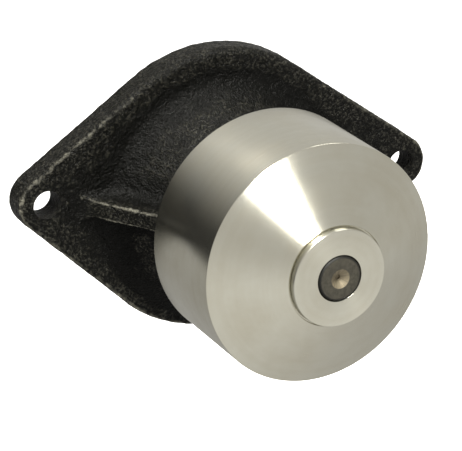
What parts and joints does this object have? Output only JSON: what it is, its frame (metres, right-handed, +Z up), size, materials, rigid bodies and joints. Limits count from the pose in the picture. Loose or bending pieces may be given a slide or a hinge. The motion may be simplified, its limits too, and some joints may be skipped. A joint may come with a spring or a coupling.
{
  "type": "engine water pump",
  "caption": "Cast iron engine water pump with a two-ear flange, a smooth cup-shaped belt pulley, an integral shaft bearing, a face seal and a rear impeller.",
  "frame": {"origin": "on the shaft axis, in the plane of the flange's block face", "axes": "+X along the line of the two bolt holes towards the farther hole, +Y out of the block face into the engine block, +Z up across the bolt line; the pulley's nose points along -Y"},
  "size_m": [0.1658, 0.1132, 0.1064],
  "materials": {
    "casting": "sand cast, black painted, slightly glossy on its crests",
    "turned_steel": "fine turned, bare",
    "shaft_steel": "ground, end face dull brown-grey",
    "impeller_iron": "sand cast, bare",
    "bearing_steel": "ground and polished",
    "spring_steel": "drawn or pressed, bare",
    "cage_plastic": "moulded nylon",
    "rubber": "moulded, matte",
    "brass": "drawn sheet",
    "carbon": "lapped carbon graphite",
    "ceramic": "lapped ceramic"
  },
  "bodies": {
    "housing": {"pump_body": "casting", "register_ring_seal": "rubber", "bearing_outer_ring": "bearing_steel", "bearing_front_lip_seal": "rubber", "bearing_back_lip_seal": "rubber", "seal_case": "brass", "seal_bellows": "rubber", "seal_spring": "spring_steel"},
    "rotor": {"shaft": "shaft_steel", "pulley": "turned_steel", "impeller": "impeller_iron", "slinger": "spring_steel", "seal_mating_ring": "ceramic", "seal_mating_boot": "rubber"},
    "ball_set": {"ball_cage": "cage_plastic"},
    "roller_set": {"roller_cage": "cage_plastic"},
    "seal_face": {"seal_carbon_ring": "carbon", "seal_spring_retainer": "spring_steel"},
    "ball_1": {"bearing_ball_1": "bearing_steel"},
    "ball_2": {"bearing_ball_2": "bearing_steel"},
    "ball_3": {"bearing_ball_3": "bearing_steel"},
    "ball_4": {"bearing_ball_4": "bearing_steel"},
    "ball_5": {"bearing_ball_5": "bearing_steel"},
    "ball_6": {"bearing_ball_6": "bearing_steel"},
    "ball_7": {"bearing_ball_7": "bearing_steel"},
    "ball_8": {"bearing_ball_8": "bearing_steel"},
    "roller_1": {"bearing_roller_1": "bearing_steel"},
    "roller_2": {"bearing_roller_2": "bearing_steel"},
    "roller_3": {"bearing_roller_3": "bearing_steel"},
    "roller_4": {"bearing_roller_4": "bearing_steel"},
    "roller_5": {"bearing_roller_5": "bearing_steel"},
    "roller_6": {"bearing_roller_6": "bearing_steel"},
    "roller_7": {"bearing_roller_7": "bearing_steel"},
    "roller_8": {"bearing_roller_8": "bearing_steel"},
    "roller_9": {"bearing_roller_9": "bearing_steel"},
    "roller_10": {"bearing_roller_10": "bearing_steel"}
  },
  "joints": [
    {"name": "rotor_spin", "type": "hinge", "parent": "housing", "child": "rotor", "pos_m": [0, 0, 0], "axis": [0, 1, 0], "continuous": true},
    {"name": "ball_set_orbit", "type": "hinge", "parent": "housing", "child": "ball_set", "pos_m": [0, -0.046, 0], "axis": [0, 1, 0], "continuous": true},
    {"name": "roller_set_orbit", "type": "hinge", "parent": "housing", "child": "roller_set", "pos_m": [0, -0.065, 0], "axis": [0, 1, 0], "continuous": true},
    {"name": "seal_face_float", "type": "slide", "parent": "housing", "child": "seal_face", "axis": [0, -1, 0], "range_m": [0, 0.0012], "stiffness_N_per_m": 300, "springref_m": -0.003, "deforming": ["seal_spring", "seal_bellows"]},
    {"name": "ball_1_roll", "type": "hinge", "parent": "ball_set", "child": "ball_1", "pos_m": [0.0104, -0.046, 0], "axis": [0, 1, 0], "continuous": true},
    {"name": "ball_2_roll", "type": "hinge", "parent": "ball_set", "child": "ball_2", "pos_m": [0.00735, -0.046, 0.00735], "axis": [0, 1, 0], "continuous": true},
    {"name": "ball_3_roll", "type": "hinge", "parent": "ball_set", "child": "ball_3", "pos_m": [0, -0.046, 0.0104], "axis": [0, 1, 0], "continuous": true},
    {"name": "ball_4_roll", "type": "hinge", "parent": "ball_set", "child": "ball_4", "pos_m": [-0.00735, -0.046, 0.00735], "axis": [0, 1, 0], "continuous": true},
    {"name": "ball_5_roll", "type": "hinge", "parent": "ball_set", "child": "ball_5", "pos_m": [-0.0104, -0.046, 0], "axis": [0, 1, 0], "continuous": true},
    {"name": "ball_6_roll", "type": "hinge", "parent": "ball_set", "child": "ball_6", "pos_m": [-0.00735, -0.046, -0.00735], "axis": [0, 1, 0], "continuous": true},
    {"name": "ball_7_roll", "type": "hinge", "parent": "ball_set", "child": "ball_7", "pos_m": [0, -0.046, -0.0104], "axis": [0, 1, 0], "continuous": true},
    {"name": "ball_8_roll", "type": "hinge", "parent": "ball_set", "child": "ball_8", "pos_m": [0.00735, -0.046, -0.00735], "axis": [0, 1, 0], "continuous": true},
    {"name": "roller_1_roll", "type": "hinge", "parent": "roller_set", "child": "roller_1", "pos_m": [0.0105, -0.065, 0], "axis": [0, 1, 0], "continuous": true},
    {"name": "roller_2_roll", "type": "hinge", "parent": "roller_set", "child": "roller_2", "pos_m": [0.00849, -0.065, 0.00617], "axis": [0, 1, 0], "continuous": true},
    {"name": "roller_3_roll", "type": "hinge", "parent": "roller_set", "child": "roller_3", "pos_m": [0.00324, -0.065, 0.00999], "axis": [0, 1, 0], "continuous": true},
    {"name": "roller_4_roll", "type": "hinge", "parent": "roller_set", "child": "roller_4", "pos_m": [-0.00324, -0.065, 0.00999], "axis": [0, 1, 0], "continuous": true},
    {"name": "roller_5_roll", "type": "hinge", "parent": "roller_set", "child": "roller_5", "pos_m": [-0.00849, -0.065, 0.00617], "axis": [0, 1, 0], "continuous": true},
    {"name": "roller_6_roll", "type": "hinge", "parent": "roller_set", "child": "roller_6", "pos_m": [-0.0105, -0.065, 0], "axis": [0, 1, 0], "continuous": true},
    {"name": "roller_7_roll", "type": "hinge", "parent": "roller_set", "child": "roller_7", "pos_m": [-0.00849, -0.065, -0.00617], "axis": [0, 1, 0], "continuous": true},
    {"name": "roller_8_roll", "type": "hinge", "parent": "roller_set", "child": "roller_8", "pos_m": [-0.00324, -0.065, -0.00999], "axis": [0, 1, 0], "continuous": true},
    {"name": "roller_9_roll", "type": "hinge", "parent": "roller_set", "child": "roller_9", "pos_m": [0.00324, -0.065, -0.00999], "axis": [0, 1, 0], "continuous": true},
    {"name": "roller_10_roll", "type": "hinge", "parent": "roller_set", "child": "roller_10", "pos_m": [0.00849, -0.065, -0.00617], "axis": [0, 1, 0], "continuous": true}
  ],
  "couplings": [
    {"joint": "ball_set_orbit", "follows": "rotor_spin", "ratio": 0.3474},
    {"joint": "roller_set_orbit", "follows": "rotor_spin", "ratio": 0.3857},
    {"joint": "ball_1_roll", "follows": "rotor_spin", "ratio": -1.4852},
    {"joint": "ball_2_roll", "follows": "rotor_spin", "ratio": -1.4852},
    {"joint": "ball_3_roll", "follows": "rotor_spin", "ratio": -1.4852},
    {"joint": "ball_4_roll", "follows": "rotor_spin", "ratio": -1.4852},
    {"joint": "ball_5_roll", "follows": "rotor_spin", "ratio": -1.4852},
    {"joint": "ball_6_roll", "follows": "rotor_spin", "ratio": -1.4852},
    {"joint": "ball_7_roll", "follows": "rotor_spin", "ratio": -1.4852},
    {"joint": "ball_8_roll", "follows": "rotor_spin", "ratio": -1.4852},
    {"joint": "roller_1_roll", "follows": "rotor_spin", "ratio": -2.0732},
    {"joint": "roller_2_roll", "follows": "rotor_spin", "ratio": -2.0732},
    {"joint": "roller_3_roll", "follows": "rotor_spin", "ratio": -2.0732},
    {"joint": "roller_4_roll", "follows": "rotor_spin", "ratio": -2.0732},
    {"joint": "roller_5_roll", "follows": "rotor_spin", "ratio": -2.0732},
    {"joint": "roller_6_roll", "follows": "rotor_spin", "ratio": -2.0732},
    {"joint": "roller_7_roll", "follows": "rotor_spin", "ratio": -2.0732},
    {"joint": "roller_8_roll", "follows": "rotor_spin", "ratio": -2.0732},
    {"joint": "roller_9_roll", "follows": "rotor_spin", "ratio": -2.0732},
    {"joint": "roller_10_roll", "follows": "rotor_spin", "ratio": -2.0732}
  ]
}
